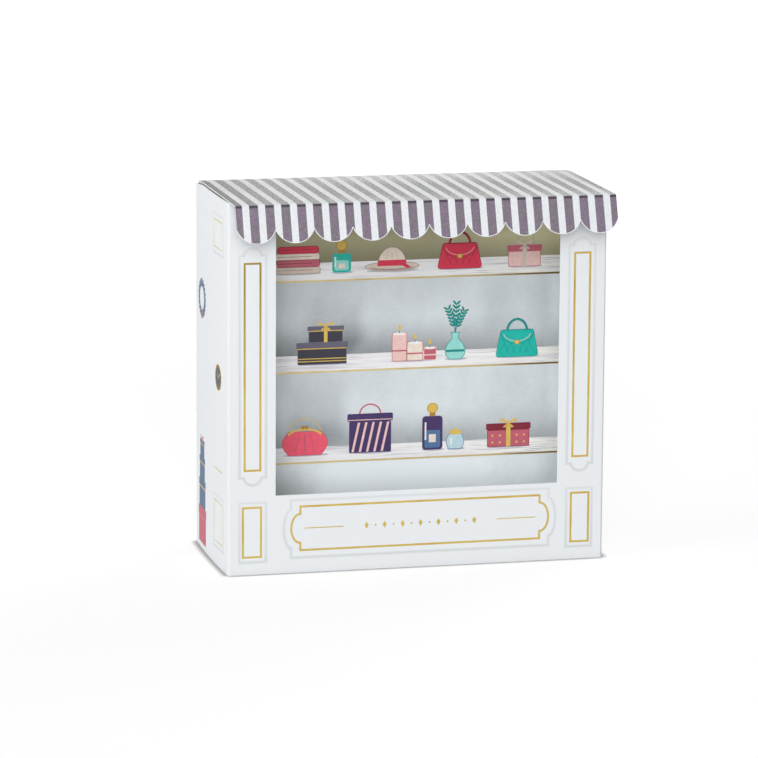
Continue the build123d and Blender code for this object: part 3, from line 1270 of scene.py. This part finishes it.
sideFrames(leftFace, "left")
sideFrames(rightFace, "right")
leftPrint()
print("sides printed")

# The studio: a wide pale floor, an even white world and four lamps round the card
studio = {
    "floorSize": 20,  # metres, to each side
    "floorColour": ink(148, 148, 148),
    "glow": (250.0, 1600.0, 0.725, 0.92),  # for the camera alone, so the floor is white round the shadow
    "contact": 3.0 * mm,  # how far the shade along the card's foot reaches
    "worldLight": ink(252, 253, 255, 0.36),
    "lamps": {  # power, size, azimuth and height in degrees, and distance
        "frontLamp": (52.2, 1.83, -17.0, 18.0, 3.4),
        "fillLamp": (25.5, 1.0, -14.0, 11.0, 3.4),
        "leftLamp": (41.0, 2.2, -82.0, 21.0, 2.6),
        "backLamp": (56.0, 1.8, 130.0, 8.0, 2.6),
    },
    "aim": (0, 0, 0.07),
    "cameraPlace": (-0.38291, -1.52753, 0.37271),
    "cameraWay": (0.23303, 0.95343, -0.19151),
    "cameraRoll": 0.354,  # degrees
    "lens": 208.97,
    "clipEnd": 100,
}


def seenRay(bench):  # 1 for what the camera sees, directly, in gloss or through glass
    rays = {wire.socket.name: wire for wire in bench.node("ShaderNodeLightPath", out="all")}
    seen = bench.maths("MAXIMUM", rays["Is Camera Ray"], rays["Is Glossy Ray"])
    return bench.maths("MAXIMUM", seen, rays["Is Transmission Ray"])


def layFloor(scene):
    look = Look("floorPaper", Roughness=0.9, Specular_IOR_Level=0.1, Emission_Strength=1.0)
    near = look.node("ShaderNodeAmbientOcclusion", {"samples": 8}, {"Distance": studio["contact"]}, 1)
    shade = look.maths("POWER", near, 2.0)
    look.drive("Base Color", look.tint(studio["floorColour"][:3], shade))
    glow = look.ease(look.vector("LENGTH", look.place(), out=1), *studio["glow"])
    look.drive("Emission Color", look.tint((1, 1, 1), seenRay(look) * glow * shade))

    flat = bmesh.new()
    bmesh.ops.create_grid(flat, x_segments=1, y_segments=1, size=studio["floorSize"])
    mesh = bpy.data.meshes.new("floor")
    flat.to_mesh(mesh)
    flat.free()
    mesh.materials.append(look.material)
    floor = bpy.data.objects.new("floor", mesh)
    scene.collection.objects.link(floor)


def lightStudio(scene):
    world = bpy.data.worlds.new("studioLight")
    world.use_nodes = True
    bench = Bench(world.node_tree)
    seen = {"Factor": seenRay(bench), "A": studio["worldLight"], "B": (1, 1, 1, 1)}
    colour = bench.node("ShaderNodeMix", {"data_type": "RGBA"}, seen, 2)
    bench.feed(world.node_tree.nodes["Background"], "Color", colour)
    scene.world = world

    for name, (power, size, azimuth, height, distance) in studio["lamps"].items():
        lamp = bpy.data.lights.new(name, "AREA")
        lamp.shape, lamp.size, lamp.energy = "DISK", size, power
        holder = bpy.data.objects.new(name, lamp)
        across, up = radians(azimuth), radians(height)
        way = Vector((sin(across) * cos(up), -cos(across) * cos(up), sin(up)))
        holder.location = Vector(studio["aim"]) + way * distance
        holder.rotation_euler = (-way).to_track_quat("-Z", "Y").to_euler()
        scene.collection.objects.link(holder)


def placeCamera(scene):
    camera = bpy.data.cameras.new("camera")
    camera.lens, camera.sensor_width, camera.clip_end = studio["lens"], 36, studio["clipEnd"]
    back = -Vector(studio["cameraWay"]).normalized()
    right = Vector((0, 0, 1)).cross(back).normalized()
    up = back.cross(right)
    roll = radians(studio["cameraRoll"])
    rolled = (right * cos(roll) + up * sin(roll), up * cos(roll) - right * sin(roll), back)
    holder = bpy.data.objects.new("camera", camera)
    turned = Matrix(rolled).transposed().to_4x4()
    holder.matrix_world = Matrix.Translation(studio["cameraPlace"]) @ turned
    scene.collection.objects.link(holder)
    scene.camera = holder
    scene.view_settings.view_transform = "Standard"


layFloor(bpy.context.scene)
lightStudio(bpy.context.scene)
placeCamera(bpy.context.scene)
print("studio built")
